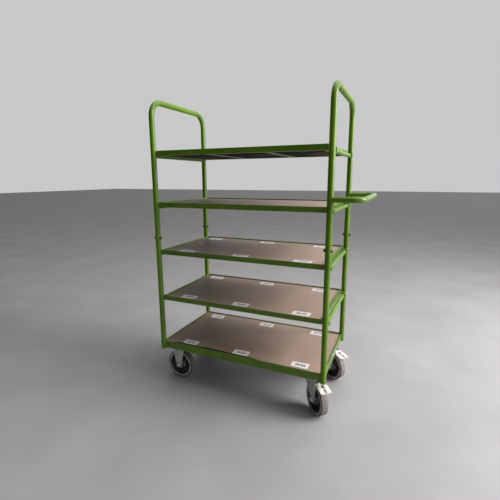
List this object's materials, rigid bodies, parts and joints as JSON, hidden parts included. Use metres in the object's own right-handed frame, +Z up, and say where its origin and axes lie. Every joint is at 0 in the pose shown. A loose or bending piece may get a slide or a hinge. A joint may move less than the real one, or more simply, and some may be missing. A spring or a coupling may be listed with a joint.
{
  "type": "shelf trolley",
  "caption": "Order-picking shelf trolley with bent tube end frames, angle-steel shelves with board panels, a push handle and castors.",
  "frame": {"origin": "on the floor, midway between the four uprights", "axes": "+X along the length towards the push handle, +Y from the front to the rear, +Z up"},
  "size_m": [1.0688, 0.5474, 1.522],
  "materials": {
    "green_tube": "gloss yellow-green powder coat on bent tube",
    "green_frame": "gloss yellow-green powder coat on angle steel",
    "green_shelf_frame": "gloss yellow-green powder coat on angle steel",
    "board": "smooth grey-brown hardboard face",
    "label_paper": "matt white self-adhesive label",
    "plug_plastic": "black moulded plug",
    "zinc_fasteners": "zinc plated",
    "zinc_castor_steel": "zinc plated pressed steel, slightly dull",
    "zinc_axles": "zinc plated",
    "bearing_steel": "ground bearing steel",
    "pedal_steel": "pale zinc and cream coated pressed steel",
    "tread_rubber": "black solid rubber with grey dust",
    "wheel_plastic": "dark grey moulded wheel centre"
  },
  "bodies": {
    "trolley": {"left_hoop": "green_tube", "right_hoop": "green_tube", "left_cross_bars": "green_tube", "right_cross_bars": "green_tube", "push_handle": "green_tube", "base_long_rails": "green_frame", "base_end_rails": "green_frame", "base_braces": "green_frame", "base_panel": "board", "shelf_1_long_rails": "green_shelf_frame", "shelf_1_end_rails": "green_shelf_frame", "shelf_1_panel": "board", "shelf_2_long_rails": "green_shelf_frame", "shelf_2_end_rails": "green_shelf_frame", "shelf_2_panel": "board", "shelf_3_long_rails": "green_shelf_frame", "shelf_3_end_rails": "green_shelf_frame", "shelf_3_panel": "board", "shelf_4_long_rails": "green_shelf_frame", "shelf_4_end_rails": "green_shelf_frame", "shelf_4_panel": "board", "shelf_braces": "green_shelf_frame", "shelf_labels": "label_paper", "spare_bolts": "zinc_fasteners", "spare_nuts": "zinc_fasteners", "foot_plugs": "plug_plastic", "castor_seats": "green_frame", "castor_bolts": "zinc_fasteners", "castor_nuts": "zinc_fasteners", "swivel_plates": "zinc_castor_steel", "swivel_kingpins": "zinc_axles", "swivel_balls": "bearing_steel", "front_fixed_fork": "zinc_castor_steel", "rear_fixed_fork": "zinc_castor_steel", "fixed_axles": "zinc_axles", "fixed_axle_nuts": "zinc_axles"},
    "front_castor_fork": {"front_swivel_fork": "zinc_castor_steel", "front_swivel_axle": "zinc_axles", "front_swivel_axle_nut": "zinc_axles", "front_brake_pin": "zinc_axles"},
    "front_castor_pedal": {"front_brake_pedal": "pedal_steel", "front_brake_shoe": "pedal_steel"},
    "front_castor_wheel": {"front_swivel_tyre": "tread_rubber", "front_swivel_rim": "wheel_plastic", "front_swivel_bearings": "bearing_steel"},
    "front_fixed_wheel": {"front_fixed_tyre": "tread_rubber", "front_fixed_rim": "wheel_plastic", "front_fixed_bearings": "bearing_steel"},
    "rear_castor_fork": {"rear_swivel_fork": "zinc_castor_steel", "rear_swivel_axle": "zinc_axles", "rear_swivel_axle_nut": "zinc_axles", "rear_brake_pin": "zinc_axles"},
    "rear_castor_pedal": {"rear_brake_pedal": "pedal_steel", "rear_brake_shoe": "pedal_steel"},
    "rear_castor_wheel": {"rear_swivel_tyre": "tread_rubber", "rear_swivel_rim": "wheel_plastic", "rear_swivel_bearings": "bearing_steel"},
    "rear_fixed_wheel": {"rear_fixed_tyre": "tread_rubber", "rear_fixed_rim": "wheel_plastic", "rear_fixed_bearings": "bearing_steel"}
  },
  "joints": [
    {"name": "front_swivel", "type": "hinge", "parent": "trolley", "child": "front_castor_fork", "pos_m": [0.389, -0.171, 0.18], "axis": [0, 0, 1], "continuous": true},
    {"name": "front_castor_spin", "type": "hinge", "parent": "front_castor_fork", "child": "front_castor_wheel", "pos_m": [0.41443, -0.19924, 0.08], "axis": [0.7431, 0.6691, 0], "continuous": true},
    {"name": "front_pedal_press", "type": "hinge", "parent": "front_castor_fork", "child": "front_castor_pedal", "pos_m": [0.43049, -0.21707, 0.169], "axis": [0.7431, 0.6691, 0], "range_deg": [0, 16]},
    {"name": "rear_swivel", "type": "hinge", "parent": "trolley", "child": "rear_castor_fork", "pos_m": [0.389, 0.171, 0.18], "axis": [0, 0, 1], "continuous": true},
    {"name": "rear_castor_spin", "type": "hinge", "parent": "rear_castor_fork", "child": "rear_castor_wheel", "pos_m": [0.42157, 0.15143, 0.08], "axis": [0.515, 0.8572, 0], "continuous": true},
    {"name": "rear_pedal_press", "type": "hinge", "parent": "rear_castor_fork", "child": "rear_castor_pedal", "pos_m": [0.44214, 0.13907, 0.169], "axis": [0.515, 0.8572, 0], "range_deg": [0, 16]},
    {"name": "front_fixed_spin", "type": "hinge", "parent": "trolley", "child": "front_fixed_wheel", "pos_m": [-0.389, -0.171, 0.08], "axis": [0, 1, 0], "continuous": true},
    {"name": "rear_fixed_spin", "type": "hinge", "parent": "trolley", "child": "rear_fixed_wheel", "pos_m": [-0.389, 0.171, 0.08], "axis": [0, 1, 0], "continuous": true}
  ]
}
